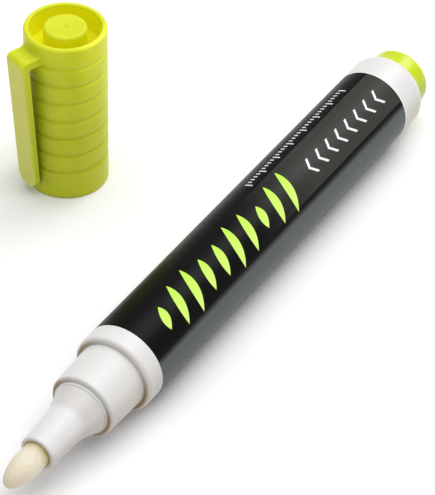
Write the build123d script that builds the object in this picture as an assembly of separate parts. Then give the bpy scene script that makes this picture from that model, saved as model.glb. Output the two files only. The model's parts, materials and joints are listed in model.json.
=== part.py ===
from build123d import *
import os
from math import cos, pi, sin, sqrt

# A valve-action ink marker lying on a table, with its cap stood beside it on its open rim.
# Millimetres, +Z up. The pen lies along X with its nib towards -X, and the cap is on the +Y side.
# The origin is on the table, under the middle of the box round both.
# Stations along the pen are measured from the shoulder of the barrel, positive towards the back.
# Heights on the cap are measured from its open rim.

# Barrel: a thick-walled tube with a rounded back end
BARREL_DIAMETER = 16.0
BARREL_LENGTH = 100.4
BARREL_BORE = 12.0
SHOULDER_ROUND = 0.8
BACK_ROUND_LENGTH = 1.95

# Neck: the tapered step in front of the shoulder that the cap pushes on to
NECK_LENGTH = 9.5
NECK_ROOT_DIAMETER = 13.5
NECK_TIP_DIAMETER = 12.8
NECK_TIP_ROUND = 0.5
NECK_BORE = 10.0
LEDGE_DEPTH = 10.8
LEDGE_THICKNESS = 2.0

# Label film, wrapped in a shallow recess of the barrel
LABEL_START = 4.1
LABEL_LENGTH = 88.9
LABEL_THICKNESS = 0.10
LABEL_GLUE = 0.02
LABEL_SUNK = 0.02

# Rear plug: a cup pressed into the back of the barrel, with a head that shows
PLUG_SEAT_DIAMETER = 13.1
PLUG_SEAT_DEPTH = 1.8
PLUG_DEPTH = 8.0
PLUG_REACH = 5.1
PLUG_TIP_DIAMETER = 12.7
PLUG_TIP_ROUND = 1.3
PLUG_DOME = 0.4
PLUG_WALL = 1.4
PLUG_BEAD_HEIGHT = 0.25
PLUG_BEAD_WIDTH = 1.2
PLUG_BEAD_COUNT = 2

# Nib holder: a flared nozzle with a rim that stops on the neck
HOLDER_RIM_DIAMETER = 10.9
HOLDER_RIM_THICKNESS = 0.6
HOLDER_RIM_ROUND = 0.2
FLARE_DIAMETER = 10.4
FLARE_LENGTH = 4.2
FLARE_BLEND = 6.0
NOZZLE_LENGTH = 13.6
NOZZLE_ROOT_DIAMETER = 7.6
NOZZLE_TIP_DIAMETER = 6.8
NOZZLE_TIP_ROUND = 0.4
HOLDER_CHAMBER = 7.2
HOLDER_CHAMBER_DEPTH = 7.0
FLUTE_COUNT = 4
FLUTE_WIDTH = 1.0
FLUTE_DEPTH = 0.4
FLUTE_STOP = 3.5

# Nib: a rod of pressed fibre, pointed alike at both ends so that it can be turned round
NIB_DIAMETER = 5.0
NIB_REACH = 9.0
NIB_POINT = 6.3
NIB_TRAVEL = 2.0

# Valve: housing with its seat and cage, plunger, spring and the disc that holds them in
GASKET_THICKNESS = 0.8
VALVE_FLANGE = 2.0
SEAT_HOLE = 3.6
SEAT_HOLE_LENGTH = 1.0
CAGE_DIAMETER = 8.0
CAGE_BORE = 6.4
CAGE_LENGTH = 15.0
CAGE_LIP = 0.35
CAGE_LIP_HEIGHT = 0.12
WINDOW_COUNT = 3
WINDOW_WIDTH = 2.6
WINDOW_MARGIN = 2.4
RETAINER_THICKNESS = 1.6
RETAINER_PORT = 0.9
RETAINER_PORT_COUNT = 4
PAD_DIAMETER = 4.0
PAD_THICKNESS = 0.8
PAD_ROOM = 0.5
PAD_NOTCH = 0.8
PAD_NOTCH_COUNT = 4
PIN_DIAMETER = 2.4
HEAD_DIAMETER = 5.6
HEAD_LENGTH = 2.0
TAIL_DIAMETER = 2.0
TAIL_REACH = 0.8
TAIL_ROUND = 0.3
SPRING_COIL_DIAMETER = 4.1
SPRING_WIRE = 0.5
SPRING_TURNS = 6

# Mixing ball, loose in the ink chamber
BALL_DIAMETER = 6.0
BALL_ROOM = 0.3

# Cap: a ringed shell with a seal tube inside, a well on top and the clip moulded on
CAP_RIM_DIAMETER = 16.2
CAP_TOP_DIAMETER = 16.0
CAP_END_WALL = 1.3
CAP_TOP_WALL = 1.05
CAP_BORE_TAPER = 0.3
CAP_EDGE_ROUND = 0.3
CAP_LIP_ROUND = 0.55
NIB_ROOM = 2.3
WELL_DEPTH = 4.5
WEB_THICKNESS = 1.2
BOSS_DIAMETER = 8.4
BOSS_ROUND = 0.6
DIMPLE_DIAMETER = 1.3
DIMPLE_DEPTH = 0.3
SEAL_LENGTH = 4.6
SEAL_WALL = 0.8
SEAL_TUBE_BORE = 6.8
GROOVE_COUNT = 7
GROOVE_PITCH = 4.12
GROOVE_FIRST = 4.7
GROOVE_SLOPE = 1.1
GROOVE_STEP = 0.5
GROOVE_DEPTH = 0.32
CLIP_HEADING = 160.5
CLIP_WIDTH = 5.4
CLIP_THICKNESS = 1.7
CLIP_ROOT_DEPTH = 0.65
CLIP_ROOT_ROUND = 0.7
CLIP_DROP = 2.5
CLIP_STANDOFF = 4.0
CLIP_END_HEIGHT = 1.9
CLIP_END_THICKNESS = 1.4
CLIP_END_ROUND = 2.2
CLIP_CORNER_ROUND = 1.3
CLIP_UNDER_ROUND = 0.6
CLIP_EDGE_ROUND = 0.45

# Clearances
PRESS_GAP = 0.02
NIB_GAP = 0.10
STEM_GAP = 0.15
SEAT_GAP = 0.05
STEM_TO_NIB = 0.10
SPRING_GAP = 0.03
LEDGE_GAP = 0.20
BALL_GAP = 0.05
CAP_GAP = 0.10
SEAL_GAP = 0.08
CLIP_GAP = 0.30
BLEND_SUNK = 0.02

# The most of a step's height that the rounding of its edge may take
STEP_SHARE = 0.75

# Where the cap stands: from the pen's axis, and from the middle of the pen
CAP_SPACING = 44.16
CAP_ALONG = 13.46

# Radii that several pieces share
BARREL_RADIUS = BARREL_DIAMETER / 2
LABEL_RADIUS = BARREL_RADIUS - LABEL_SUNK
RECESS_RADIUS = LABEL_RADIUS - LABEL_THICKNESS - LABEL_GLUE
BALL_RADIUS = BALL_DIAMETER / 2
LEDGE_RADIUS = CAGE_DIAMETER / 2 + LEDGE_GAP

# Stations of the barrel and the plug
NECK_TIP = -NECK_LENGTH
LEDGE_FRONT = NECK_TIP + LEDGE_DEPTH
LEDGE_BACK = LEDGE_FRONT + LEDGE_THICKNESS
BACK = BARREL_LENGTH
PLUG_FRONT = BACK - PLUG_DEPTH
PLUG_TIP = BACK + PLUG_REACH

# Stations of the stack in the neck: ledge, gasket, valve flange, nib holder
GASKET_FRONT = LEDGE_FRONT - GASKET_THICKNESS
FLANGE_FRONT = GASKET_FRONT - VALVE_FLANGE
NOZZLE_TIP = NECK_TIP - NOZZLE_LENGTH
NOZZLE_ROOT = NECK_TIP - HOLDER_RIM_THICKNESS - FLARE_LENGTH
NIB_TIP = NOZZLE_TIP - NIB_REACH

# Stations of the valve, worked back from its seat
SEAT_START = FLANGE_FRONT + SEAT_HOLE_LENGTH
SEAT_END = SEAT_START + (CAGE_BORE - SEAT_HOLE) / 2
CAGE_END = GASKET_FRONT + CAGE_LENGTH
RETAINER_BACK = CAGE_END - CAGE_LIP - PRESS_GAP
RETAINER_FRONT = RETAINER_BACK - RETAINER_THICKNESS
PAD_BACK = FLANGE_FRONT - NIB_TRAVEL - PAD_ROOM
PAD_FRONT = PAD_BACK - PAD_THICKNESS
NIB_BACK = PAD_FRONT - STEM_TO_NIB
CONE_START = SEAT_START - (SEAT_HOLE - PIN_DIAMETER) / 2 + SEAT_GAP * sqrt(2)
CONE_END = CONE_START + (HEAD_DIAMETER - PIN_DIAMETER) / 2
HEAD_BACK = CONE_END + HEAD_LENGTH
TAIL_END = RETAINER_BACK + TAIL_REACH

# The ball rests as far forward as the opened valve lets it
BALL_STATION = max(TAIL_END + NIB_TRAVEL, CAGE_END) + BALL_RADIUS + BALL_ROOM
BALL_DROP = BARREL_BORE / 2 - BALL_RADIUS - BALL_GAP

# Heights on the cap, which covers the nose of the pen up to the shoulder
CAP_INSIDE = -NIB_TIP + NIB_ROOM
CAP_HEIGHT = CAP_INSIDE + CAP_END_WALL
WELL_FLOOR = CAP_HEIGHT - WELL_DEPTH
WEB_UNDER = WELL_FLOOR - WEB_THICKNESS
SEAL_MOUTH = -NOZZLE_TIP - SEAL_LENGTH

# Places on the table
PEN_MIDDLE = (NIB_TIP + PLUG_TIP) / 2
PEN_Y = -(CAP_SPACING + CAP_RIM_DIAMETER / 2 - BARREL_RADIUS) / 2
PEN_PLACE = Pos(-PEN_MIDDLE, PEN_Y, BARREL_RADIUS)
CAP_PLACE = Pos(CAP_ALONG, PEN_Y + CAP_SPACING, 0)
STAND_UP = Rot(0, -90, 0)


def turned(*edges, rounds=()):
    """A solid of revolution about X, with its outline's named corners rounded."""
    outline = make_face(edges)
    for corner, radius in rounds:
        outline = fillet(outline.vertices().sort_by_distance(corner)[0], radius)
    return revolve(outline, Axis.X)


def about_x(count, start=0.0):
    """Evenly spaced turns about the X axis."""
    return [Rot(start + 360 * k / count, 0, 0) for k in range(count)]


def edge_round(radius, step):
    """The radius of a rounded edge, kept within the step that it is on."""
    return min(radius, STEP_SHARE * step)


def tube(front, back, inner, outer):
    """A plain ring or tube about X."""
    return turned(Polyline((front, inner), (front, outer), (back, outer), (back, inner), close=True))


def nozzle_radius(station):
    """Outer radius of the nozzle's cone at a station."""
    along = (station - NOZZLE_TIP) / (NOZZLE_ROOT - NOZZLE_TIP)
    return (NOZZLE_TIP_DIAMETER + along * (NOZZLE_ROOT_DIAMETER - NOZZLE_TIP_DIAMETER)) / 2


def neck_radius(station):
    """Outer radius of the tapered neck at a station."""
    along = (station - NECK_TIP) / NECK_LENGTH
    return (NECK_TIP_DIAMETER + along * (NECK_ROOT_DIAMETER - NECK_TIP_DIAMETER)) / 2


def cap_radius(height):
    """Outer radius of the cap's wall at a height, before its grooves."""
    along = height / CAP_HEIGHT
    return (CAP_RIM_DIAMETER + along * (CAP_TOP_DIAMETER - CAP_RIM_DIAMETER)) / 2


def barrel():
    label_end = LABEL_START + LABEL_LENGTH
    round_start = (BACK - BACK_ROUND_LENGTH, BARREL_RADIUS)
    back_edge = (BACK, PLUG_SEAT_DIAMETER / 2)
    neck_edge = (NECK_TIP, NECK_TIP_DIAMETER / 2)
    shoulder_edge = (0, BARREL_RADIUS)
    outside = Polyline(
        neck_edge,
        (0, NECK_ROOT_DIAMETER / 2),
        shoulder_edge,
        (LABEL_START, BARREL_RADIUS),
        (LABEL_START, RECESS_RADIUS),
        (label_end, RECESS_RADIUS),
        (label_end, BARREL_RADIUS),
        round_start,
    )
    back_end = TangentArc(round_start, back_edge, tangent=(1, 0))
    inside = Polyline(
        back_edge,
        (BACK - PLUG_SEAT_DEPTH, PLUG_SEAT_DIAMETER / 2),
        (BACK - PLUG_SEAT_DEPTH, BARREL_BORE / 2),
        (LEDGE_BACK, BARREL_BORE / 2),
        (LEDGE_BACK, LEDGE_RADIUS),
        (LEDGE_FRONT, LEDGE_RADIUS),
        (LEDGE_FRONT, NECK_BORE / 2),
        (NECK_TIP, NECK_BORE / 2),
        neck_edge,
    )
    shoulder_round = edge_round(SHOULDER_ROUND, BARREL_RADIUS - NECK_ROOT_DIAMETER / 2)
    tip_round = edge_round(NECK_TIP_ROUND, (NECK_TIP_DIAMETER - NECK_BORE) / 2)
    return turned(outside, back_end, inside,
                  rounds=[(neck_edge, tip_round), (shoulder_edge, shoulder_round)])


def label_sleeve():
    return tube(LABEL_START, LABEL_START + LABEL_LENGTH, LABEL_RADIUS - LABEL_THICKNESS, LABEL_RADIUS)


def rear_plug():
    seat = BACK - PLUG_SEAT_DEPTH
    crest = BARREL_BORE / 2 - PRESS_GAP
    shank = crest - PLUG_BEAD_HEIGHT
    head = PLUG_SEAT_DIAMETER / 2 - PRESS_GAP
    cavity = shank - PLUG_WALL
    floor = BACK + PLUG_REACH - PLUG_DOME - PLUG_WALL
    tip_edge = (PLUG_TIP - PLUG_DOME, PLUG_TIP_DIAMETER / 2)
    bead_step = (seat - PLUG_FRONT) / (PLUG_BEAD_COUNT + 1)
    beads = []
    for k in range(PLUG_BEAD_COUNT):
        middle = PLUG_FRONT + (k + 1) * bead_step
        beads += [
            (middle - PLUG_BEAD_WIDTH / 2, shank),
            (middle - PLUG_BEAD_WIDTH / 4, crest),
            (middle + PLUG_BEAD_WIDTH / 4, crest),
            (middle + PLUG_BEAD_WIDTH / 2, shank),
        ]
    shell = Polyline(
        (floor, 0), (floor, cavity), (PLUG_FRONT, cavity), (PLUG_FRONT, shank),
        *beads,
        (seat, shank), (seat, head), (BACK, head), tip_edge,
    )
    dome = TangentArc((PLUG_TIP, 0), tip_edge, tangent=(0, 1))
    core = Line((PLUG_TIP, 0), (floor, 0))
    return turned(shell, dome, core, rounds=[(tip_edge, PLUG_TIP_ROUND)])


def nib_holder():
    shank = NECK_BORE / 2 - PRESS_GAP
    rim_front = NECK_TIP - HOLDER_RIM_THICKNESS
    rim_edge = (rim_front, HOLDER_RIM_DIAMETER / 2)
    flare_edge = (rim_front, FLARE_DIAMETER / 2)
    nozzle_root = (NOZZLE_ROOT, NOZZLE_ROOT_DIAMETER / 2)
    nozzle_edge = (NOZZLE_TIP, NOZZLE_TIP_DIAMETER / 2)
    bore = NIB_DIAMETER / 2 + NIB_GAP
    chamber = HOLDER_CHAMBER / 2
    chamber_front = FLANGE_FRONT - HOLDER_CHAMBER_DEPTH
    outline = Polyline(
        (FLANGE_FRONT, chamber), (FLANGE_FRONT, shank), (NECK_TIP, shank),
        (NECK_TIP, HOLDER_RIM_DIAMETER / 2), rim_edge, flare_edge, nozzle_root, nozzle_edge,
        (NOZZLE_TIP, bore), (chamber_front, bore), (chamber_front, chamber), close=True,
    )
    rim_round = edge_round(HOLDER_RIM_ROUND, (HOLDER_RIM_DIAMETER - FLARE_DIAMETER) / 2)
    tip_round = edge_round(NOZZLE_TIP_ROUND, NOZZLE_TIP_DIAMETER / 2 - bore)
    body = turned(outline, rounds=[
        (rim_edge, rim_round), (nozzle_root, FLARE_BLEND), (nozzle_edge, tip_round),
    ])
    flute_front = NOZZLE_TIP + FLUTE_STOP
    flute_length = chamber_front - flute_front
    flute_place = Pos(flute_front + flute_length / 2, 0, bore)
    flute = flute_place * Box(flute_length, FLUTE_WIDTH, 2 * FLUTE_DEPTH)
    for turn in about_x(FLUTE_COUNT):
        body -= turn * flute
    return body


def nib():
    radius = NIB_DIAMETER / 2
    front = EllipticalCenterArc((NIB_TIP + NIB_POINT, 0), NIB_POINT, radius, 90, arc_size=90)
    back = EllipticalCenterArc((NIB_BACK - NIB_POINT, 0), NIB_POINT, radius, 0, arc_size=90)
    side = Line((NIB_TIP + NIB_POINT, radius), (NIB_BACK - NIB_POINT, radius))
    core = Line((NIB_BACK, 0), (NIB_TIP, 0))
    return turned(front, side, back, core)


def valve_housing():
    rim = NECK_BORE / 2 - PRESS_GAP
    lip = CAGE_BORE / 2 - CAGE_LIP_HEIGHT
    body = turned(Polyline(
        (FLANGE_FRONT, SEAT_HOLE / 2), (FLANGE_FRONT, rim), (GASKET_FRONT, rim),
        (GASKET_FRONT, CAGE_DIAMETER / 2), (CAGE_END, CAGE_DIAMETER / 2), (CAGE_END, lip),
        (CAGE_END - CAGE_LIP, lip), (CAGE_END - CAGE_LIP, CAGE_BORE / 2), (SEAT_END, CAGE_BORE / 2),
        (SEAT_START, SEAT_HOLE / 2), close=True,
    ))
    window_front = LEDGE_BACK + WINDOW_MARGIN
    window_length = RETAINER_FRONT - WINDOW_MARGIN - window_front
    window_place = Pos(window_front + window_length / 2, 0, CAGE_DIAMETER / 2)
    window = window_place * Box(window_length, WINDOW_WIDTH, CAGE_DIAMETER - CAGE_BORE + WINDOW_WIDTH)
    for turn in about_x(WINDOW_COUNT):
        body -= turn * window
    return body


def valve_gasket():
    return tube(GASKET_FRONT, LEDGE_FRONT, CAGE_DIAMETER / 2 + PRESS_GAP, NECK_BORE / 2 - PRESS_GAP)


def valve_stem():
    tail_edge = (TAIL_END, TAIL_DIAMETER / 2)
    body = turned(
        Polyline(
            (PAD_FRONT, 0), (PAD_FRONT, PAD_DIAMETER / 2), (PAD_BACK, PAD_DIAMETER / 2),
            (PAD_BACK, PIN_DIAMETER / 2), (CONE_START, PIN_DIAMETER / 2), (CONE_END, HEAD_DIAMETER / 2),
            (HEAD_BACK, HEAD_DIAMETER / 2), (HEAD_BACK, TAIL_DIAMETER / 2), tail_edge,
            (TAIL_END, 0), close=True,
        ),
        rounds=[(tail_edge, TAIL_ROUND)],
    )
    notch_place = Pos((PAD_FRONT + PAD_BACK) / 2, 0, PAD_DIAMETER / 2)
    notch = notch_place * Box(PAD_THICKNESS, PAD_NOTCH, PAD_NOTCH)
    for turn in about_x(PAD_NOTCH_COUNT):
        body -= turn * notch
    return body


def biarc(start, start_way, end, end_way):
    """Two arcs that leave one point and reach another along given unit directions."""
    chord = end - start
    a = 2 * (start_way.dot(end_way) - 1)
    b = -2 * chord.dot(start_way + end_way)
    c = chord.dot(chord)
    reach = (-b - sqrt(b * b - 4 * a * c)) / (2 * a)
    first_corner = start + start_way * reach
    second_corner = end - end_way * reach
    knee = (first_corner + second_corner) * 0.5
    knee_way = second_corner - first_corner
    return [TangentArc(start, knee, tangent=start_way), TangentArc(knee, end, tangent=knee_way)]


def spring_line(turn):
    """A point of the spring's wire, and the wire's direction there, after some turns."""
    radius = SPRING_COIL_DIAMETER / 2
    first = HEAD_BACK + SPRING_WIRE / 2 + SPRING_GAP
    last = RETAINER_FRONT - SPRING_WIRE / 2 - SPRING_GAP
    pitch = (last - first) / SPRING_TURNS
    angle = 2 * pi * turn
    point = Vector(first + pitch * turn, radius * cos(angle), radius * sin(angle))
    way = Vector(pitch, -2 * pi * radius * sin(angle), 2 * pi * radius * cos(angle))
    return point, way.normalized()


def spring_self_gap():
    """Least gap between the wire and its next turn, measured on points along it."""
    per_turn = 24
    points = [spring_line(k / per_turn)[0] for k in range(SPRING_TURNS * per_turn + 1)]
    nearest = min(
        (points[j] - points[k]).length
        for k in range(len(points))
        for j in range(k + per_turn // 2, len(points))
    )
    return nearest - SPRING_WIRE


def valve_spring():
    wire_path = []
    for k in range(2 * SPRING_TURNS):
        wire_path += biarc(*spring_line(k / 2), *spring_line((k + 1) / 2))
    start, way = spring_line(0)
    section = Plane(origin=start, z_dir=way) * Circle(SPRING_WIRE / 2)
    return sweep(section, path=Wire(wire_path))


def spring_retainer():
    hole = TAIL_DIAMETER / 2 + STEM_GAP
    rim = CAGE_BORE / 2 - PRESS_GAP
    disc = tube(RETAINER_FRONT, RETAINER_BACK, hole, rim)
    middle = (RETAINER_FRONT + RETAINER_BACK) / 2
    port_place = Pos(middle, 0, (hole + rim) / 2) * Rot(0, 90, 0)
    port = port_place * Cylinder(RETAINER_PORT / 2, 2 * RETAINER_THICKNESS)
    for turn in about_x(RETAINER_PORT_COUNT, start=180 / RETAINER_PORT_COUNT):
        disc -= turn * port
    return disc


def mixing_ball():
    return Pos(BALL_STATION, 0, -BALL_DROP) * Sphere(BALL_RADIUS)


def cap_wall():
    """The cap's wall from the rim up to the top: plain bands with sawtooth grooves between."""
    points = [(0, cap_radius(0))]
    for k in reversed(range(GROOVE_COUNT)):
        bottom = CAP_HEIGHT - GROOVE_FIRST - k * GROOVE_PITCH
        points += [
            (bottom - GROOVE_STEP, cap_radius(bottom - GROOVE_STEP)),
            (bottom, cap_radius(bottom) - GROOVE_DEPTH),
            (bottom + GROOVE_SLOPE, cap_radius(bottom + GROOVE_SLOPE)),
        ]
    points.append((CAP_HEIGHT, cap_radius(CAP_HEIGHT)))
    return points


def cap_shell():
    """The turned body of the cap, lying along X with its rim at zero."""
    wall = cap_wall()
    rim_edge, lip_edge = wall[0], wall[-1]
    lip_inner = (CAP_HEIGHT, cap_radius(CAP_HEIGHT) - CAP_TOP_WALL)
    boss_edge = (CAP_HEIGHT, BOSS_DIAMETER / 2)
    dimple = DIMPLE_DIAMETER / 2
    tube_end = SEAL_TUBE_BORE / 2
    seal_tip = nozzle_radius(NOZZLE_TIP) + SEAL_GAP
    seal_mouth = nozzle_radius(-SEAL_MOUTH) + SEAL_GAP
    neck_tip_bore = neck_radius(NECK_TIP) + CAP_GAP
    outline = Polyline(
        *wall,
        lip_inner, (WELL_FLOOR, lip_inner[1]), (WELL_FLOOR, BOSS_DIAMETER / 2), boss_edge,
        (CAP_HEIGHT, dimple), (CAP_HEIGHT - DIMPLE_DEPTH, 0),
        (CAP_INSIDE, 0), (CAP_INSIDE, tube_end), (-NOZZLE_TIP, seal_tip), (SEAL_MOUTH, seal_mouth),
        (SEAL_MOUTH, seal_mouth + SEAL_WALL), (WEB_UNDER, BOSS_DIAMETER / 2),
        (WEB_UNDER, neck_tip_bore - CAP_BORE_TAPER), (NECK_LENGTH, neck_tip_bore),
        (0, neck_radius(0) + CAP_GAP), close=True,
    )
    return turned(outline, rounds=[
        (rim_edge, CAP_EDGE_ROUND), (lip_edge, CAP_LIP_ROUND), (lip_inner, CAP_EDGE_ROUND),
        (boss_edge, BOSS_ROUND),
    ])


def cap_clip():
    """The clip, standing off the upright cap towards +X: a bridge and a leaning arm."""
    bridge_top = CAP_HEIGHT - CLIP_DROP
    bridge_under = bridge_top - CLIP_THICKNESS
    root = cap_radius(bridge_top) - CLIP_ROOT_DEPTH
    outer_top = cap_radius(bridge_top) + CLIP_STANDOFF
    inner_end = cap_radius(CLIP_END_HEIGHT) + CLIP_GAP
    top_corner = (outer_top, bridge_top)
    under_corner = (outer_top - CLIP_THICKNESS, bridge_under)
    side = make_face(Polyline(
        (root, bridge_top), top_corner, (inner_end + CLIP_END_THICKNESS, CLIP_END_HEIGHT),
        (inner_end, CLIP_END_HEIGHT), under_corner, (root, bridge_under), close=True,
    ))
    side = fillet(side.vertices().sort_by_distance(top_corner)[0], CLIP_CORNER_ROUND)
    side = fillet(side.vertices().sort_by_distance(under_corner)[0], CLIP_UNDER_ROUND)
    arm = extrude(Plane.XZ * side, CLIP_WIDTH / 2, both=True)
    tongue_height = bridge_top - CLIP_END_HEIGHT
    tongue = RectangleRounded(CLIP_WIDTH, 2 * tongue_height, CLIP_END_ROUND)
    tongue = extrude(Plane.YZ * Pos(0, bridge_top) * tongue, 2 * outer_top)
    arm &= tongue
    outer_face = arm.faces().sort_by(Axis.X)[-1]
    return fillet(outer_face.edges(), CLIP_EDGE_ROUND)


def clip_root():
    """The hollow blend that carries the top of the clip up into the cap's wall."""
    bridge_top = CAP_HEIGHT - CLIP_DROP
    wall = cap_radius(bridge_top)
    crown = (wall - BLEND_SUNK, bridge_top + CLIP_ROOT_ROUND)
    foot = (wall + CLIP_ROOT_ROUND, bridge_top - BLEND_SUNK)
    sunk = wall - CLIP_ROOT_DEPTH
    base = bridge_top - CLIP_THICKNESS / 2
    hollow = TangentArc(crown, foot, tangent=(0, -1))
    rest = Polyline(foot, (foot[0], base), (sunk, base), (sunk, crown[1]), crown)
    ring = revolve(Plane.XZ * make_face([hollow, rest]), Axis.Z)
    return ring & Pos(wall, 0, bridge_top) * Box(2 * CLIP_STANDOFF, CLIP_WIDTH, 2 * CLIP_THICKNESS)


def cap():
    return STAND_UP * cap_shell() + Rot(0, 0, CLIP_HEADING) * (cap_clip() + clip_root())


PEN_PIECES = [
    barrel, label_sleeve, rear_plug, nib_holder, nib, valve_housing,
    valve_gasket, valve_stem, valve_spring, spring_retainer, mixing_ball,
]

os.makedirs("parts", exist_ok=True)
for make_piece in PEN_PIECES:
    export_step(PEN_PLACE * make_piece(), f"parts/{make_piece.__name__}.step")
export_step(CAP_PLACE * cap(), "parts/cap.step")
print(f"spring wire clears its next turn by {spring_self_gap():.2f} mm")
print(f"pen {PLUG_TIP - NIB_TIP:.1f} mm long, cap {CAP_HEIGHT:.1f} mm tall")
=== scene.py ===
# %% [markdown]
# # An ink marker with its cap off
#
# A fat white marker lies on a pale table, and its lime cap stands beside it on its open rim. The
# solids come ready from the CAD frame: this file gives them their finishes, winds a spring of its own,
# and sets up the table, the light and the camera.
#
# Everything is in metres in the frame's own axes: the pen lies along X with its nib towards -X, the
# cap is on the +Y side and Z is up. The patterns on the surfaces are laid out in millimetres.

import json
from math import cos, degrees, pi, radians, sin

import bmesh
import bpy
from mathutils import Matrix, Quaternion, Vector


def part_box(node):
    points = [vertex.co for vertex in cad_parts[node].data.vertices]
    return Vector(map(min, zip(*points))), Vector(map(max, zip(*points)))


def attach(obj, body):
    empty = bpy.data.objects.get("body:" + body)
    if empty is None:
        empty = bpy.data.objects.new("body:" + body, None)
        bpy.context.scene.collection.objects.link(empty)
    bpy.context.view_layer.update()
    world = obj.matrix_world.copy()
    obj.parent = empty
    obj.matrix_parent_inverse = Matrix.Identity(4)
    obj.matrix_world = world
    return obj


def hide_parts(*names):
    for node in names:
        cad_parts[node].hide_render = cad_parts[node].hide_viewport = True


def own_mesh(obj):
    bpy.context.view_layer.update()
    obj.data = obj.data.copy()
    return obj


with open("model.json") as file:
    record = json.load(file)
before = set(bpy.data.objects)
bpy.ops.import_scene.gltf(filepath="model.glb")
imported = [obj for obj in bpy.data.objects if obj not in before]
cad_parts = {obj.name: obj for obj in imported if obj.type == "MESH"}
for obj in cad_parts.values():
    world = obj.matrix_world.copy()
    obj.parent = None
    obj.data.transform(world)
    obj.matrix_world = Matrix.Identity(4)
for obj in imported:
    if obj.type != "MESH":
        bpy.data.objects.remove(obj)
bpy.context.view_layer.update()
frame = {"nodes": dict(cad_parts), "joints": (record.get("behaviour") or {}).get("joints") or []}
nodes = frame["nodes"]

MM = 0.001

label_low, label_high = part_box("label_sleeve")
pen_axis = (label_low + label_high) / 2
label_radius = (label_high.z - label_low.z) / 2
label_length = label_high.x - label_low.x
print(f"{len(nodes)} solids; the label is {label_length / MM:.1f} mm long")
print(f"it is wrapped to a diameter of {2 * label_radius / MM:.2f} mm")

# %% [markdown]
# ## Numbers that vary over a surface
#
# A printed label or a fibre nib is a set of rules such as "black, but lime inside this stroke". Blender
# writes such rules as Math nodes, which are hard to read as a wall of boxes. `Field` wraps one node
# output, so that ordinary Python arithmetic lays the nodes out and a rule stays one line of text.

# %% Fields
def plug(tree, value, socket):
    """Feeds a socket with a field, another node's output or a plain value."""
    if isinstance(value, Field):
        tree.links.new(value.socket, socket)
    elif isinstance(value, bpy.types.NodeSocket):
        tree.links.new(value, socket)
    else:
        socket.default_value = value


class Field:
    """A number at each point of a surface. Arithmetic on fields lays out Math nodes."""

    def __init__(self, tree, socket):
        self.tree = tree
        self.socket = socket

    def math(self, operation, *others):
        node = self.tree.nodes.new("ShaderNodeMath")
        node.operation = operation
        for socket, value in zip(node.inputs, (self, *others)):
            plug(self.tree, value, socket)
        return Field(self.tree, node.outputs[0])

    def __add__(self, other):
        return self.math("ADD", other)

    def __sub__(self, other):
        return self.math("SUBTRACT", other)

    def __mul__(self, other):
        return self.math("MULTIPLY", other)

    def __truediv__(self, other):
        return self.math("DIVIDE", other)

    def __abs__(self):
        return self.math("ABSOLUTE")

    def floor(self):
        return self.math("FLOOR")

    def under(self, edge, soft):
        """1 where the field is below an edge and 0 above it, turning over a soft margin each side."""
        ramp = self.tree.nodes.new("ShaderNodeMapRange")
        ramp.interpolation_type = "SMOOTHSTEP"
        for name, value in (
            ("Value", self),
            ("From Min", edge - soft),
            ("From Max", edge + soft),
            ("To Min", 1.0),
            ("To Max", 0.0),
        ):
            plug(self.tree, value, ramp.inputs[name])
        return Field(self.tree, ramp.outputs["Result"])

    def over(self, edge, soft):
        """The opposite of under."""
        return self.under(edge, soft) * -1.0 + 1.0

    def between(self, low, high, soft):
        """1 from one edge to the other."""
        return self.over(low, soft) * self.under(high, soft)


print("fields: sums, products and soft edges")

# %% [markdown]
# ## Places and grain
#
# Object coordinates give each point's place in the frame and stay with a piece when it moves. Shifted to
# a handy centre and scaled to millimetres, they let a rule name real distances, or ask which way a round
# wall faces. Noise on the same coordinates gives a grain of a real size, which wanders round 0.5.

# %% Places and grain
NOISE_MIDDLE = 0.5


def place_in_mm(tree, centre):
    """The surface's own place in millimetres, measured from a point of the frame."""
    coordinates = tree.nodes.new("ShaderNodeTexCoord")
    mapping = tree.nodes.new("ShaderNodeMapping")
    mapping.inputs["Location"].default_value = -centre / MM
    mapping.inputs["Scale"].default_value = (1 / MM, 1 / MM, 1 / MM)
    tree.links.new(coordinates.outputs["Object"], mapping.inputs["Vector"])
    return mapping.outputs["Vector"]


def split(tree, place):
    """The three coordinates of a place, as fields."""
    parts = tree.nodes.new("ShaderNodeSeparateXYZ")
    tree.links.new(place, parts.inputs["Vector"])
    return [Field(tree, output) for output in parts.outputs]


def facing(first, second, heading):
    """How squarely a round wall faces a heading, counted from its first axis to its second: 1 to -1."""
    radius = (first * first + second * second).math("SQRT")
    return (first * cos(heading) + second * sin(heading)) / radius


def grain(tree, place, size, detail=2.0, stretch=(1.0, 1.0, 1.0)):
    """Cloudy noise with lumps of a size in millimetres, which may be drawn out along an axis."""
    mapping = tree.nodes.new("ShaderNodeMapping")
    mapping.inputs["Scale"].default_value = [1 / (size * share) for share in stretch]
    noise = tree.nodes.new("ShaderNodeTexNoise")
    noise.inputs["Scale"].default_value = 1.0
    noise.inputs["Detail"].default_value = detail
    tree.links.new(place, mapping.inputs["Vector"])
    tree.links.new(mapping.outputs["Vector"], noise.inputs["Vector"])
    return Field(tree, noise.outputs["Fac"])


def uneven(noise):
    """A factor round 1 that makes what it multiplies patchy."""
    return noise * 0.5 + 0.75


print("places in millimetres, headings, grain and patchiness")

# %% [markdown]
# ## Painting a finish
#
# Every finish here is one Principled shader. What is the same all over a surface is set straight on the
# shader. What varies is painted in layers: a base colour, then one mask after another, like coats of
# ink. Fine relief goes through a Bump node whose depth is given in real millimetres.

# %% Painting helpers
COLOUR_A, COLOUR_B = "A_Color", "B_Color"


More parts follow.
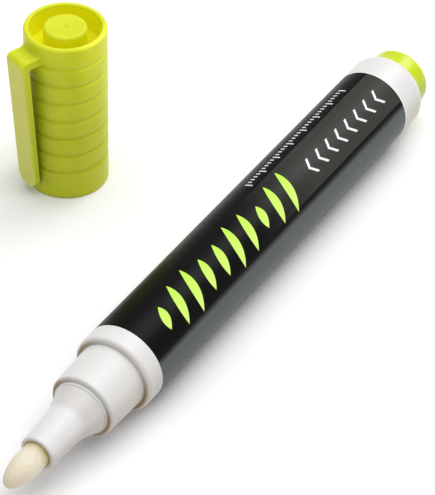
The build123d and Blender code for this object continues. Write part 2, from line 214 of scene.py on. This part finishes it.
def new_finish(name, **uniform):
    """A Principled material. Values that are the same all over go to the sockets they name."""
    material = bpy.data.materials.new(name)
    material.use_nodes = True
    tree = material.node_tree
    shader = tree.nodes["Principled BSDF"]
    for socket, value in uniform.items():
        shader.inputs[socket.replace("_", " ").title().replace("Ior", "IOR")].default_value = value
    return material, tree, shader


def paint(tree, under, mask, colour):
    """A coat of colour over what is there, where the mask is 1."""
    coat = tree.nodes.new("ShaderNodeMix")
    coat.data_type = "RGBA"
    sockets = {socket.identifier: socket for socket in coat.inputs}
    plug(tree, mask, coat.inputs["Factor"])
    for key, value in ((COLOUR_A, under), (COLOUR_B, colour)):
        plug(tree, (*value, 1.0) if isinstance(value, tuple) else value, sockets[key])
    return next(output for output in coat.outputs if output.type == "RGBA")


def roughen(tree, shader, noise, middle, spread):
    """Lets the roughness wander with the noise, by a spread round a middle value."""
    plug(tree, noise * spread + (middle - spread / 2), shader.inputs["Roughness"])


def relief(tree, shader, height, depth):
    """Raises the surface by up to a depth in millimetres, where the height field is 1."""
    bump = tree.nodes.new("ShaderNodeBump")
    bump.inputs["Distance"].default_value = depth * MM
    plug(tree, height, bump.inputs["Height"])
    tree.links.new(bump.outputs["Normal"], shader.inputs["Normal"])


def dress(material, *names):
    """Gives CAD solids a finish."""
    for name in names:
        slots = nodes[name].data.materials
        slots.clear()
        slots.append(material)
    print(f"{material.name}: {', '.join(names)}")


print("painting: finishes, coats of colour, roughness and relief")

# %% [markdown]
# ## White satin plastic
#
# The barrel and the flared nib holder are injection-moulded polypropylene: an off-white, slightly
# waxy plastic with a fine spark-eroded skin, a faint parting line along each side where the two halves
# of the mould met, and a trace of old ink at the mouth of the nozzle, with painted shade in the gap round
# the nib. The cap's rim rubs on the two steps of the nose. A warm painted shade lies on their faces and in
# the corners behind them, thinner along the top, and a little of it covers the low side and the flare.
# Each step is given by its place along the pen, the radius where the shade ends and how softly it ends.
# The wax comes from a little subsurface scattering; the rest is painted by distance along the pen and by
# how squarely the surface faces a direction round it, counted from straight up. The painted shade was
# matched to one picture.

# %% White plastic
WHITE = (0.720, 0.717, 0.711)
WHITE_WARM = (0.695, 0.685, 0.670)
# the warm colour of the painted shade on the nose's steps, its low side and its flare
PAINTED_NOSE_SHADE = (0.270, 0.180, 0.075)
# old ink at the nozzle's mouth, with painted shade in the gap round the nib
INK_TRACE_AND_SHADE = (0.400, 0.300, 0.130)
MOTTLE_SIZE, MOTTLE_SOFT = 9.0, 0.25
SKIN_SIZE, SKIN_DEPTH = 0.16, 0.012
PATCH_SIZE = 1.6
WHITE_ROUGH, WHITE_ROUGH_SPREAD = 0.37, 0.14
PARTING_HALF_WIDTH, PARTING_SOFT, PARTING_HEIGHT = 0.07, 0.03, 0.35
NECK_LENGTH = 9.5
NECK_TIP_STEP = (0.0, 6.15, 0.30)
SHOULDER_STEP = (NECK_LENGTH, 7.55, 0.35)
# where the painted shade lies: the faces and corners of the steps, thinner along the top, the low side and
# the flare
STEP_SHADE_AHEAD, STEP_SHADE_BEHIND, STEP_SHADE_SOFT = 0.1, 0.6, 0.12
CORNER_SHARE, CORNER_SHARE_RISE = 0.20, 0.78
TOP_SIDE, TOP_EDGE, TOP_SOFT = radians(20.0), 0.55, 0.45
LOW_SIDE, LOW_SIDE_EDGE, LOW_SIDE_SOFT, LOW_SIDE_SHARE = radians(120.0), 0.68, 0.32, 0.38
FLARE_FROM, FLARE_TO, FLARE_SOFT, FLARE_SHARE = -4.6, -0.7, 0.7, 0.13
TRACE_REACH, TRACE_RADIUS, TRACE_SOFT, TRACE_SHARE = 0.5, 2.9, 0.4, 0.7

nozzle_mouth = (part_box("nib_holder")[0].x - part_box("barrel")[0].x) / MM


def white_plastic():
    material, tree, shader = new_finish(
        "white_satin_plastic", subsurface_weight=0.12, subsurface_scale=0.0006, ior=1.49
    )
    place = place_in_mm(tree, Vector((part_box("barrel")[0].x, pen_axis.y, pen_axis.z)))
    along, across, up = split(tree, place)
    radius = (across * across + up * up).math("SQRT")
    mottle = grain(tree, place, MOTTLE_SIZE)
    skin = grain(tree, place, SKIN_SIZE, detail=3.0)
    patchy = uneven(grain(tree, place, PATCH_SIZE, detail=3.0))
    colour = paint(tree, WHITE, mottle.over(NOISE_MIDDLE, MOTTLE_SOFT), WHITE_WARM)

    # Painted shade on the faces and in the corners of the steps, thinner along the top, and on the low side
    # and the flare.
    low_side = facing(up, across * -1.0, LOW_SIDE).over(LOW_SIDE_EDGE, LOW_SIDE_SOFT)
    away_from_top = facing(up, across * -1.0, TOP_SIDE).under(TOP_EDGE, TOP_SOFT)
    painted_nose_shade = along.between(FLARE_FROM, FLARE_TO, FLARE_SOFT) * FLARE_SHARE
    painted_nose_shade = painted_nose_shade.math("MAXIMUM", low_side * LOW_SIDE_SHARE)
    for station, edge, soft in (NECK_TIP_STEP, SHOULDER_STEP):
        step = along.between(station - STEP_SHADE_AHEAD, station + STEP_SHADE_BEHIND, STEP_SHADE_SOFT)
        step = step * radius.under(edge, soft)
        painted_nose_shade = painted_nose_shade.math("MAXIMUM", step * (away_from_top * CORNER_SHARE_RISE + CORNER_SHARE))
    colour = paint(tree, colour, painted_nose_shade * patchy, PAINTED_NOSE_SHADE)

    # A trace of old ink round the bore at the nozzle's mouth, which is also painted shade in the gap round
    # the nib.
    trace_and_shade = (along - nozzle_mouth).under(TRACE_REACH, TRACE_SOFT)
    trace_and_shade = trace_and_shade * radius.under(TRACE_RADIUS, TRACE_SOFT) * patchy
    colour = paint(tree, colour, trace_and_shade * TRACE_SHARE, INK_TRACE_AND_SHADE)
    tree.links.new(colour, shader.inputs["Base Color"])

    roughen(tree, shader, skin, WHITE_ROUGH, WHITE_ROUGH_SPREAD)
    parting = abs(up).under(PARTING_HALF_WIDTH, PARTING_SOFT)
    relief(tree, shader, skin + parting * PARTING_HEIGHT, SKIN_DEPTH)
    return material


dress(white_plastic(), "barrel", "nib_holder")

# %% [markdown]
# ## Lime plastic
#
# The cap and the rear plug are the same kind of plastic in a strong lime. Light goes a little way in,
# so both scatter light under their skin. The plug is polished as well. Painted shade darkens the seam
# where it enters the barrel, and the barrel's painted shade on the low side reaches the plug's wall.

# %% Lime plastic
PLUG_LIME = (0.580, 0.700, 0.012)
PLUG_LIME_DEEP = (0.510, 0.620, 0.006)
# the colour of the painted shade at the plug's seam and on its low side
PLUG_PAINTED_SHADE = (0.200, 0.220, 0.010)
PLUG_ROUGH = 0.22
PLUG_POLISH, PLUG_POLISH_ROUGH = 0.35, 0.16
SEAM_REACH, SEAM_SOFT, SEAM_SHARE = 0.2, 0.5, 0.6
PLUG_WALL_RADIUS, PLUG_WALL_SOFT, PLUG_LOW_SHARE = 5.4, 0.5, 0.55
LIME_MOTTLE_SIZE = 7.0
LIME_SKIN_SIZE, LIME_SKIN_DEPTH = 0.18, 0.010
LIME_ROUGH_SPREAD = 0.16


def lime_plastic(name, centre, light, deep, rough):
    """The lime finish, and its parts so that more can be painted on it."""
    material, tree, shader = new_finish(
        name, subsurface_weight=0.6, subsurface_radius=(1.0, 1.0, 0.15), subsurface_scale=0.002,
        specular_ior_level=0.2,
    )
    place = place_in_mm(tree, centre)
    skin = grain(tree, place, LIME_SKIN_SIZE, detail=3.0)
    mottle = grain(tree, place, LIME_MOTTLE_SIZE)
    colour = paint(tree, light, mottle.over(NOISE_MIDDLE, MOTTLE_SOFT), deep)
    roughen(tree, shader, skin, rough, LIME_ROUGH_SPREAD)
    relief(tree, shader, skin, LIME_SKIN_DEPTH)
    return material, tree, shader, place, colour


def plug_lime():
    seat = Vector((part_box("barrel")[1].x, pen_axis.y, pen_axis.z))
    material, tree, shader, place, colour = lime_plastic(
        "lime_plug_plastic", seat, PLUG_LIME, PLUG_LIME_DEEP, PLUG_ROUGH
    )
    along, across, up = split(tree, place)
    wall = (across * across + up * up).math("SQRT").over(PLUG_WALL_RADIUS, PLUG_WALL_SOFT)
    low_side = facing(up, across * -1.0, LOW_SIDE).over(LOW_SIDE_EDGE, LOW_SIDE_SOFT)
    # Painted shade in the seam where the plug enters the barrel and on the low side of its wall.
    seam = along.under(SEAM_REACH, SEAM_SOFT) * SEAM_SHARE
    plug_painted_shade = seam.math("MAXIMUM", low_side * wall * PLUG_LOW_SHARE)
    colour = paint(tree, colour, plug_painted_shade, PLUG_PAINTED_SHADE)
    tree.links.new(colour, shader.inputs["Base Color"])
    shader.inputs["Coat Weight"].default_value = PLUG_POLISH
    shader.inputs["Coat Roughness"].default_value = PLUG_POLISH_ROUGH
    return material


dress(plug_lime(), "rear_plug")

# %% [markdown]
# ## The cap's shades of lime
#
# One flat lime would look plain. The well on top is painted a deep glowing yellow that stands in for the
# light trapped in it; one side is painted paler, as painted light; painted shade darkens the ring grooves a
# little and the wall behind the clip; pockets have rubbed the clip's outer face pale and dull, and a
# painted sheen lies over it; and painted shade deepens the colour towards the rim. Each is a mask over the
# cap's own
# measures: the depth below its top, the distance and the heading from its axis, and the distances along the
# clip and across it.
# The painted light on one side and the painted shade behind the clip were matched to one picture.

# %% Cap shades
LIME = (0.650, 0.700, 0.028)
LIME_DEEP = (0.595, 0.645, 0.018)
# painted light: the paler colour of the side that faces the light
LIME_PAINTED_LIGHT = (0.840, 0.880, 0.060)
# painted shade, darker towards the rim
LIME_SHADED_LOW = (0.480, 0.525, 0.014)
# painted shade in the ring grooves
LIME_GROOVE_SHADE = (0.300, 0.330, 0.012)
# painted shade on the wall behind the clip
LIME_CLIP_SHADE = (0.200, 0.190, 0.002)
# a painted glow that stands in for light trapped in the well
WELL_PAINTED_GLOW = (0.860, 0.830, 0.006)
# the clip's outer face, rubbed pale, with a painted sheen
CLIP_RUBBED_SHEEN = (0.610, 0.605, 0.140)
CAP_ROUGH = 0.38
CAP_PATCH_SIZE = 2.5
# the heading and edges of the side with painted light
LIT_SIDE_HEADING, LIT_SIDE_EDGE, LIT_SIDE_SOFT, LIT_SIDE_SHARE = radians(270.0), 0.85, 0.17, 0.75
LOW_DEPTH, LOW_SOFT, LOW_SHARE = 20.0, 16.0, 0.8
GROOVE_COUNT, GROOVE_FIRST, GROOVE_PITCH = 7, 4.4, 4.12
GROOVE_HALF_WIDTH, GROOVE_SOFT, GROOVE_SHARE = 0.75, 0.65, 0.05
SHELL_INSIDE, SHELL_OUTSIDE, SHELL_SOFT = 7.4, 8.3, 0.1
WELL_RADIUS, WELL_RADIUS_SOFT = 7.0, 0.05
WELL_FROM, WELL_TO, WELL_SOFT, WELL_SHARE = 0.5, 4.8, 0.3, 0.9
CLIP_HEADING = radians(160.5)
CLIP_TOP_DEPTH, CLIP_TOP_REACH, CLIP_LEAN = 2.5, 12.0, 0.0703
CLIP_SKIN, CLIP_SKIN_SOFT = 0.4, 0.15
RUB_SHEEN_BELOW, RUB_SHEEN_SOFT, RUB_SHEEN_SHARE = 1.5, 1.5, 0.4
STREAK_SIZE, STREAK_STRETCH = 0.7, (1.0, 1.0, 12.0)
STREAK_EDGE, STREAK_SOFT, STREAK_SHARE = 0.4, 0.3, 0.4
# the reach of the painted shade behind the clip
CLIP_SHADE_HALF_WIDTH, CLIP_SHADE_SOFT, CLIP_SHADE_SHARE = 3.2, 3.0, 0.5
CLIP_SHADE_FROM, CLIP_SHADE_TO, CLIP_SHADE_END_SOFT = 6.5, 33.0, 1.5
ROW_EDGE = 0.001

cap_low, cap_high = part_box("cap")
cap_rim_radius = (cap_high.y - cap_low.y) / 2
cap_top = Vector((cap_high.x - cap_rim_radius, (cap_low.y + cap_high.y) / 2, cap_high.z))


def row_cells(position, start, pitch, count):
    """Divides a row into equal cells: each point's cell, its place from the middle, and the row's mask."""
    cell = (position - start) / pitch
    index = cell.floor()
    offset = (cell - index - 0.5) * pitch
    return index, offset, cell.between(0.0, float(count), ROW_EDGE)


def cap_lime():
    material, tree, shader, place, colour = lime_plastic(
        "lime_cap_plastic", cap_top, LIME, LIME_DEEP, CAP_ROUGH
    )
    across, inwards, up = split(tree, place)
    depth = up * -1.0
    radius = (across * across + inwards * inwards).math("SQRT")
    patchy = uneven(grain(tree, place, CAP_PATCH_SIZE, detail=3.0))

    # Painted light: one side of the wall is painted paler.
    lit_side = facing(across, inwards, LIT_SIDE_HEADING).over(LIT_SIDE_EDGE, LIT_SIDE_SOFT)
    lit_side = lit_side * radius.over(WELL_RADIUS, SHELL_SOFT)
    colour = paint(tree, colour, lit_side * LIT_SIDE_SHARE, LIME_PAINTED_LIGHT)
    # Painted shade: the colour darkens towards the rim.
    colour = paint(tree, colour, depth.over(LOW_DEPTH, LOW_SOFT) * LOW_SHARE, LIME_SHADED_LOW)

    # Painted shade in the ring grooves.
    _, offset, rings = row_cells(depth, GROOVE_FIRST - GROOVE_PITCH / 2, GROOVE_PITCH, GROOVE_COUNT)
    grooves = abs(offset).under(GROOVE_HALF_WIDTH, GROOVE_SOFT) * rings
    wall = radius.between(SHELL_INSIDE, SHELL_OUTSIDE, SHELL_SOFT)
    colour = paint(tree, colour, grooves * wall * patchy * GROOVE_SHARE, LIME_GROOVE_SHADE)

    # A painted glow: the well is painted a deep yellow that stands in for light trapped in it.
    well = radius.under(WELL_RADIUS, WELL_RADIUS_SOFT) * depth.between(WELL_FROM, WELL_TO, WELL_SOFT)
    colour = paint(tree, colour, well * WELL_SHARE, WELL_PAINTED_GLOW)

    out = across * cos(CLIP_HEADING) + inwards * sin(CLIP_HEADING)
    aside = abs(inwards * cos(CLIP_HEADING) - across * sin(CLIP_HEADING))
    # Painted shade on the wall behind the clip, where the clip keeps the light off.
    behind_clip = aside.under(CLIP_SHADE_HALF_WIDTH, CLIP_SHADE_SOFT) * out.over(0.0, CLIP_SHADE_SOFT) * wall
    behind_clip = behind_clip * depth.between(CLIP_SHADE_FROM, CLIP_SHADE_TO, CLIP_SHADE_END_SOFT)
    colour = paint(tree, colour, behind_clip * CLIP_SHADE_SHARE, LIME_CLIP_SHADE)

    # The clip's outer face is rubbed pale in streaks, with a painted sheen over it.
    clip_reach = (depth - CLIP_TOP_DEPTH) * -CLIP_LEAN + (CLIP_TOP_REACH - CLIP_SKIN)
    streaks = grain(tree, place, STREAK_SIZE, detail=3.0, stretch=STREAK_STRETCH)
    streaks = streaks.over(STREAK_EDGE, STREAK_SOFT)
    rubbed_sheen = (out - clip_reach).over(0.0, CLIP_SKIN_SOFT)
    rubbed_sheen = rubbed_sheen * depth.over(CLIP_TOP_DEPTH + RUB_SHEEN_BELOW, RUB_SHEEN_SOFT)
    colour = paint(tree, colour, rubbed_sheen * (streaks * STREAK_SHARE + RUB_SHEEN_SHARE), CLIP_RUBBED_SHEEN)
    tree.links.new(colour, shader.inputs["Base Color"])
    return material


dress(cap_lime(), "cap")
print(f"the cap's axis is at {cap_top.x / MM:.2f}, {cap_top.y / MM:.2f} mm")

# %% [markdown]
# ## The label's motifs
#
# The label's print is worked out on the flat sheet: `along` runs from the front edge to the back edge and
# `around` is the way round the barrel from the line that the reader looks at, both in millimetres. The
# motifs are a row of leaning lime strokes, a row of white arrowheads and a white scale. Each function
# gives a mask, which is 1 where its ink lies.

# %% Label motifs
PRINT_EDGE = 0.06
STROKE_COUNT, STROKE_START, STROKE_PITCH = 10, 5.0, 4.75
STROKE_HALF_WIDTH, STROKE_LEAN, STROKE_LINE = 1.05, 0.35, -0.4
STROKE_REACH, STROKE_SWELL, STROKE_RHYTHM = 2.3, 2.2, 0.9
ARROW_COUNT, ARROW_START, ARROW_PITCH = 8, 55.8, 3.65
ARROW_HALF_HEIGHT, ARROW_SLOPE, ARROW_HALF_WIDTH, ARROW_LINE = 1.7, 0.75, 0.33, -0.4
SCALE_FROM, SCALE_TO, SCALE_STEP, SCALE_GROUP = 46.0, 82.0, 1.0, 5
SCALE_LINE, SCALE_SHORT, SCALE_LONG, SCALE_HALF_WIDTH = -8.2, 0.9, 1.7, 0.15

scale_ticks = (SCALE_TO - SCALE_FROM) / SCALE_STEP


def lime_strokes(along, around):
    """Leaning strokes, pointed at both ends, that swell and shrink along the row."""
    height = around - STROKE_LINE
    leaning = along + height * STROKE_LEAN
    index, offset, row = row_cells(leaning, STROKE_START, STROKE_PITCH, STROKE_COUNT)
    reach = abs((index * STROKE_RHYTHM).math("SINE")) * STROKE_SWELL + STROKE_REACH
    share = height / reach
    half_width = (share * share * -1.0 + 1.0) * STROKE_HALF_WIDTH
    return (abs(offset) - half_width).under(0.0, PRINT_EDGE) * row


def white_arrows(along, around):
    """A row of arrowheads that point to the nib."""
    height = abs(around - ARROW_LINE)
    _, offset, row = row_cells(along - height * ARROW_SLOPE, ARROW_START, ARROW_PITCH, ARROW_COUNT)
    line = abs(offset).under(ARROW_HALF_WIDTH, PRINT_EDGE)
    return line * height.under(ARROW_HALF_HEIGHT, PRINT_EDGE) * row


def white_scale(along, around):
    """A scale of short ticks, with a longer one at each fifth."""
    index, offset, row = row_cells(along, SCALE_FROM, SCALE_STEP, scale_ticks)
    fifth = (index / SCALE_GROUP).math("FRACT").under(0.5 / SCALE_GROUP, 0.01)
    length = fifth * (SCALE_LONG - SCALE_SHORT) + SCALE_SHORT
    height = around - SCALE_LINE
    tick = abs(offset).under(SCALE_HALF_WIDTH, PRINT_EDGE) * (height - length).under(0.0, PRINT_EDGE)
    return tick * height.over(0.0, PRINT_EDGE) * row


print(f"motifs: {STROKE_COUNT} strokes, {ARROW_COUNT} arrowheads and {scale_ticks:.0f} ticks")

# %% [markdown]
# ## The label film
#
# The label is a thin film, printed black and wrapped round the barrel. A soft charcoal band runs the
# whole length, a dark panel fills the back half, and a hair of white shows along the cut edge at the
# back. The inks lie a little proud of the film, and use has scuffed its gloss.

# %% Label film
READING_LINE = radians(30.5)
BLACK = (0.0040, 0.0034, 0.0034)
CHARCOAL = (0.100, 0.112, 0.107)
PANEL_GREY = (0.042, 0.043, 0.038)
PRINT_LIME = (0.500, 0.860, 0.090)
PRINT_LIME_PALE = (0.640, 0.900, 0.180)
PRINT_WHITE = (0.830, 0.830, 0.830)
BAND_FROM, BAND_TO, BAND_SOFT = 4.8, 15.0, 0.8
PANEL_START, PANEL_FADE = 34.0, 14.0
PANEL_FROM, PANEL_TO = -5.6, 3.5
LIME_FADE = 3.0
CUT_MARGIN, CUT_SOFT = 0.28, 0.04
SPECKLE_SIZE = 0.35
SCUFF_SIZE, SCUFF_STRETCH = 1.1, (1.0, 6.0, 6.0)
SCUFF_EDGE, SCUFF_SOFT = 0.62, 0.08
FILM_ROUGH, SCUFF_ROUGH = 0.34, 0.10
WAVE_SIZE, WAVE_DEPTH, INK_HEIGHT = 5.0, 0.010, 0.2


def label_film():
    material, tree, shader = new_finish("printed_label_film", specular_ior_level=0.07)
    place = place_in_mm(tree, Vector((label_low.x, pen_axis.y, pen_axis.z)))
    along, across, up = split(tree, place)
    angle = (across * -1.0).math("ARCTAN2", up)
    around = (angle - READING_LINE) * (label_radius / MM)

    speckle = uneven(grain(tree, place, SPECKLE_SIZE))
    band = around.between(BAND_FROM, BAND_TO, BAND_SOFT)
    panel = along.over(PANEL_START + PANEL_FADE, PANEL_FADE)
    panel = panel * around.between(PANEL_FROM, PANEL_TO, PRINT_EDGE)
    strokes = lime_strokes(along, around)
    white = white_arrows(along, around).math("MAXIMUM", white_scale(along, around))
    margin = along.over(label_length / MM - CUT_MARGIN, CUT_SOFT)

    colour = paint(tree, BLACK, band * speckle, CHARCOAL)
    colour = paint(tree, colour, panel * speckle, PANEL_GREY)
    lime = paint(tree, PRINT_LIME, around.over(STROKE_LINE, LIME_FADE), PRINT_LIME_PALE)
    colour = paint(tree, colour, strokes, lime)
    colour = paint(tree, colour, white.math("MAXIMUM", margin), PRINT_WHITE)
    tree.links.new(colour, shader.inputs["Base Color"])

    scuffs = grain(tree, place, SCUFF_SIZE, detail=4.0, stretch=SCUFF_STRETCH)
    scuffs = scuffs.over(SCUFF_EDGE, SCUFF_SOFT)
    plug(tree, scuffs * SCUFF_ROUGH + FILM_ROUGH, shader.inputs["Roughness"])
    waves = grain(tree, place, WAVE_SIZE)
    relief(tree, shader, waves + strokes * INK_HEIGHT + white * INK_HEIGHT, WAVE_DEPTH)
    return material


dress(label_film(), "label_sleeve")

# %% [markdown]
# ## The fibre nib
#
# The bullet nib is a rod of pressed fibres ground to a point. Fine streaks run along it, the point is
# a little tan with use, and ink has soaked in where it leaves the nozzle, so it turns olive there.

# %% Nib fibre
NIB_CREAM = (0.700, 0.625, 0.450)
NIB_PALE = (0.790, 0.740, 0.610)
NIB_TAN = (0.600, 0.480, 0.270)
NIB_SOAKED = (0.440, 0.330, 0.040)
SOAKED_LENGTH, SOAKED_START, SOAKED_SHARE = 1.8, 0.4, 0.95
TAN_LENGTH, TAN_SHARE = 2.6, 0.35
FIBRE_SIZE, FIBRE_STRETCH, FIBRE_SOFT = 0.16, (9.0, 1.0, 1.0), 0.2
CLUMP_SIZE, CLUMP_STRETCH, CLUMP_REACH = 0.9, (3.0, 1.0, 1.0), 2.0
FIBRE_ROUGH, FIBRE_ROUGH_SPREAD = 0.65, 0.2
FIBRE_HEIGHT, CLUMP_HEIGHT, FIBRE_DEPTH = 0.7, 0.3, 0.05

nib_reach = (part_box("nib_holder")[0].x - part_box("nib")[0].x) / MM


def nib_fibre():
    material, tree, shader = new_finish("pressed_nib_fibre")
    place = place_in_mm(tree, Vector((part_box("nib_holder")[0].x, pen_axis.y, pen_axis.z)))
    along = split(tree, place)[0]
    fibres = grain(tree, place, FIBRE_SIZE, detail=3.0, stretch=FIBRE_STRETCH)
    clumps = grain(tree, place, CLUMP_SIZE, stretch=CLUMP_STRETCH)
    colour = paint(tree, NIB_CREAM, fibres.over(NOISE_MIDDLE, FIBRE_SOFT), NIB_PALE)
    point = (along + nib_reach).under(TAN_LENGTH, TAN_LENGTH)
    colour = paint(tree, colour, point * TAN_SHARE, NIB_TAN)
    ragged = along + clumps * CLUMP_REACH - CLUMP_REACH / 2
    soaked = ragged.over(-SOAKED_LENGTH * SOAKED_START, SOAKED_LENGTH)
    colour = paint(tree, colour, soaked * SOAKED_SHARE, NIB_SOAKED)
    tree.links.new(colour, shader.inputs["Base Color"])
    roughen(tree, shader, fibres, FIBRE_ROUGH, FIBRE_ROUGH_SPREAD)
    relief(tree, shader, fibres * FIBRE_HEIGHT + clumps * CLUMP_HEIGHT, FIBRE_DEPTH)
    return material


dress(nib_fibre(), "nib")

# %% [markdown]
# ## The pieces inside
#
# The valve's housing, stem and retainer are natural, undyed plastic, the gasket is black rubber and the
# ball is polished steel. They are hidden in the barrel but a section or an exploded view shows them,
# so they get real finishes too.

# %% Inner finishes
NATURAL = (0.700, 0.690, 0.630)
NATURAL_CLOUDY = (0.780, 0.770, 0.720)
RUBBER = (0.022, 0.021, 0.020)
RUBBER_BLOOM = (0.060, 0.058, 0.054)
BALL_STEEL = (0.560, 0.570, 0.580)
BALL_STEEL_DULL = (0.460, 0.470, 0.480)
TONE_SOFT = 0.2
TONE_ROUGH_SPREAD = 0.2


def two_tone(name, main, second, size, rough, depth, **uniform):
    """A finish whose colour and roughness wander between two tones, with relief of that grain."""
    material, tree, shader = new_finish(name, **uniform)
    cloud = grain(tree, place_in_mm(tree, pen_axis), size, detail=3.0)
    colour = paint(tree, main, cloud.over(NOISE_MIDDLE, TONE_SOFT), second)
    tree.links.new(colour, shader.inputs["Base Color"])
    roughen(tree, shader, cloud, rough, TONE_ROUGH_SPREAD)
    relief(tree, shader, cloud, depth)
    return material


natural_plastic = two_tone(
    "natural_plastic", NATURAL, NATURAL_CLOUDY, size=0.8, rough=0.42, depth=0.01,
    subsurface_weight=0.3, subsurface_scale=0.001,
)
gasket_rubber = two_tone("gasket_rubber", RUBBER, RUBBER_BLOOM, size=0.3, rough=0.75, depth=0.02)
ball_steel = two_tone(
    "ball_steel", BALL_STEEL, BALL_STEEL_DULL, size=0.6, rough=0.22, depth=0.002, metallic=1.0
)
dress(natural_plastic, "valve_housing", "valve_stem", "spring_retainer")
dress(gasket_rubber, "valve_gasket")
dress(ball_steel, "mixing_ball")

# %% [markdown]
# ## The valve spring
#
# The CAD spring is rigid, but pressing the nib shortens the real one by the same two millimetres. The
# scene winds its own: a small ring of vertices is spun round the pen's axis and pushed along a little at
# each step, which is exactly how a spring is coiled.

# %% Valve spring
SPRING_WIRE = 0.5 * MM
SPRING_TURNS = 6
STEPS_PER_TURN = 28
WIRE_SIDES = 12

spring_low, spring_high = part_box("valve_spring")
coil_radius = (spring_high.y - spring_low.y - SPRING_WIRE) / 2
spring_length = spring_high.x - spring_low.x
pitch = (spring_length - SPRING_WIRE) / SPRING_TURNS
valve_travel = next(j["range_m"][1] for j in frame["joints"] if j["name"] == "valve_open")


def finished_piece(name, mesh_maker, material, body):
    """Makes an object from a bmesh, smooth shaded, in a finish, riding on a body."""
    shape = mesh_maker()
    mesh = bpy.data.meshes.new(name)
    for face in shape.faces:
        face.smooth = True
    shape.to_mesh(mesh)
    shape.free()
    mesh.materials.append(material)
    piece = bpy.data.objects.new(name, mesh)
    bpy.context.scene.collection.objects.link(piece)
    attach(piece, body)
    print(f"{name}: {len(mesh.polygons)} faces, rides on {body}")
    return piece


def wound_spring():
    shape = bmesh.new()
    ring = bmesh.ops.create_circle(shape, segments=WIRE_SIDES, radius=SPRING_WIRE / 2)["verts"]
    start = Vector((spring_low.x + SPRING_WIRE / 2, pen_axis.y + coil_radius, pen_axis.z))
    bmesh.ops.translate(shape, verts=ring, vec=start)
    steps = SPRING_TURNS * STEPS_PER_TURN
    bmesh.ops.spin(
        shape, geom=shape.verts[:] + shape.edges[:], cent=pen_axis, axis=(1, 0, 0),
        dvec=(pitch / STEPS_PER_TURN, 0, 0), angle=2 * pi * SPRING_TURNS, steps=steps,
    )
    bmesh.ops.holes_fill(shape, edges=[e for e in shape.edges if e.is_boundary], sides=WIRE_SIDES)
    bmesh.ops.recalc_face_normals(shape, faces=shape.faces)
    return shape


SPRING_STEEL = (0.580, 0.580, 0.570)
SPRING_STEEL_DRAWN = (0.420, 0.415, 0.400)
spring_steel = two_tone(
    "drawn_spring_wire", SPRING_STEEL, SPRING_STEEL_DRAWN, size=0.12, rough=0.30, depth=0.003, metallic=1.0
)
spring = finished_piece("valve_spring_coil", wound_spring, spring_steel, "barrel")
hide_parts("valve_spring")
1 - valve_travel / spring_length
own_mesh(spring)

# %% [markdown]
# ## Table and light
#
# The picture has a white studio look: a pale table, a wide soft light almost overhead that shades the
# sides of everything a little, a small one behind that draws a line of gloss along the tops, and enough
# light from all round that no shadow goes black.

# %% Table and light
TABLE_SIZE = 3.0
TABLE_WHITE = (0.900, 0.900, 0.905)
SURROUND = (1.0, 1.0, 1.0)
SURROUND_STRENGTH = 0.50


def table():
    shape = bmesh.new()
    bmesh.ops.create_grid(shape, x_segments=1, y_segments=1, size=TABLE_SIZE / 2)
    mesh = bpy.data.meshes.new("table")
    shape.to_mesh(mesh)
    shape.free()
    material, _, shader = new_finish("table_white", roughness=0.85, specular_ior_level=0.2)
    shader.inputs["Base Color"].default_value = (*TABLE_WHITE, 1.0)
    mesh.materials.append(material)
    piece = bpy.data.objects.new("table", mesh)
    bpy.context.scene.collection.objects.link(piece)
    print(f"table: {TABLE_SIZE:.0f} m square")


def soft_light(name, heading, height_angle, distance, size, power):
    """A square softbox that looks at the middle of the object from a heading and an elevation."""
    light = bpy.data.lights.new(name, "AREA")
    light.shape = "SQUARE"
    light.size = size
    light.energy = power
    lamp = bpy.data.objects.new(name, light)
    turn, rise = radians(heading), radians(height_angle)
    way = Vector((cos(turn) * cos(rise), sin(turn) * cos(rise), sin(rise)))
    lamp.location = way * distance
    lamp.rotation_mode = "QUATERNION"
    lamp.rotation_quaternion = way.to_track_quat("Z", "Y")
    bpy.context.scene.collection.objects.link(lamp)
    print(f"{name}: {power} W from heading {heading}, {height_angle} up")


table()
world = bpy.data.worlds.new("studio_surround")
world.use_nodes = True
surround = world.node_tree.nodes["Background"]
surround.inputs["Color"].default_value = (*SURROUND, 1.0)
surround.inputs["Strength"].default_value = SURROUND_STRENGTH
bpy.context.scene.world = world
soft_light("key_softbox", heading=330, height_angle=78, distance=0.85, size=1.0, power=6.4)
soft_light("back_softbox", heading=348, height_angle=41, distance=0.75, size=0.3, power=1.1)

# %% [markdown]
# ## Camera
#
# The view is from the nib's end, well above the table, with a long lens and a touch of roll that sets
# the cap upright in the frame. The angles, the distance and the focal length were fitted to the
# picture's outlines; the focal length is in pixels of its 435 by 495 frame, which a sensor that spans
# the longer side turns into millimetres. Colours are shown as they are, without a film curve.

# %% Camera
FRAME_WIDTH, FRAME_HEIGHT = 435, 495
VIEW_AZIMUTH, VIEW_ELEVATION, VIEW_ROLL = radians(-59.25), radians(41.0), radians(1.95)
VIEW_DISTANCE = 481.2 * MM
FOCAL_PIXELS = 2577
LOOK_AT = Vector((2.83, -19.33, 8.0)) * MM

camera_data = bpy.data.cameras.new("studio_camera")
camera_data.sensor_fit = "AUTO"
camera_data.lens = FOCAL_PIXELS * camera_data.sensor_width / max(FRAME_WIDTH, FRAME_HEIGHT)
camera_data.clip_start = 10 * MM
camera = bpy.data.objects.new("studio_camera", camera_data)
back = Vector((
    sin(VIEW_AZIMUTH) * cos(VIEW_ELEVATION),
    -cos(VIEW_AZIMUTH) * cos(VIEW_ELEVATION),
    sin(VIEW_ELEVATION),
))
camera.location = LOOK_AT + back * VIEW_DISTANCE
camera.rotation_mode = "QUATERNION"
camera.rotation_quaternion = back.to_track_quat("Z", "Y") @ Quaternion((0, 0, 1), VIEW_ROLL)
bpy.context.scene.collection.objects.link(camera)
bpy.context.scene.camera = camera
bpy.context.scene.view_settings.view_transform = "Standard"
print(f"camera: {camera_data.lens:.0f} mm lens, {degrees(VIEW_ELEVATION):.0f} degrees above the table")
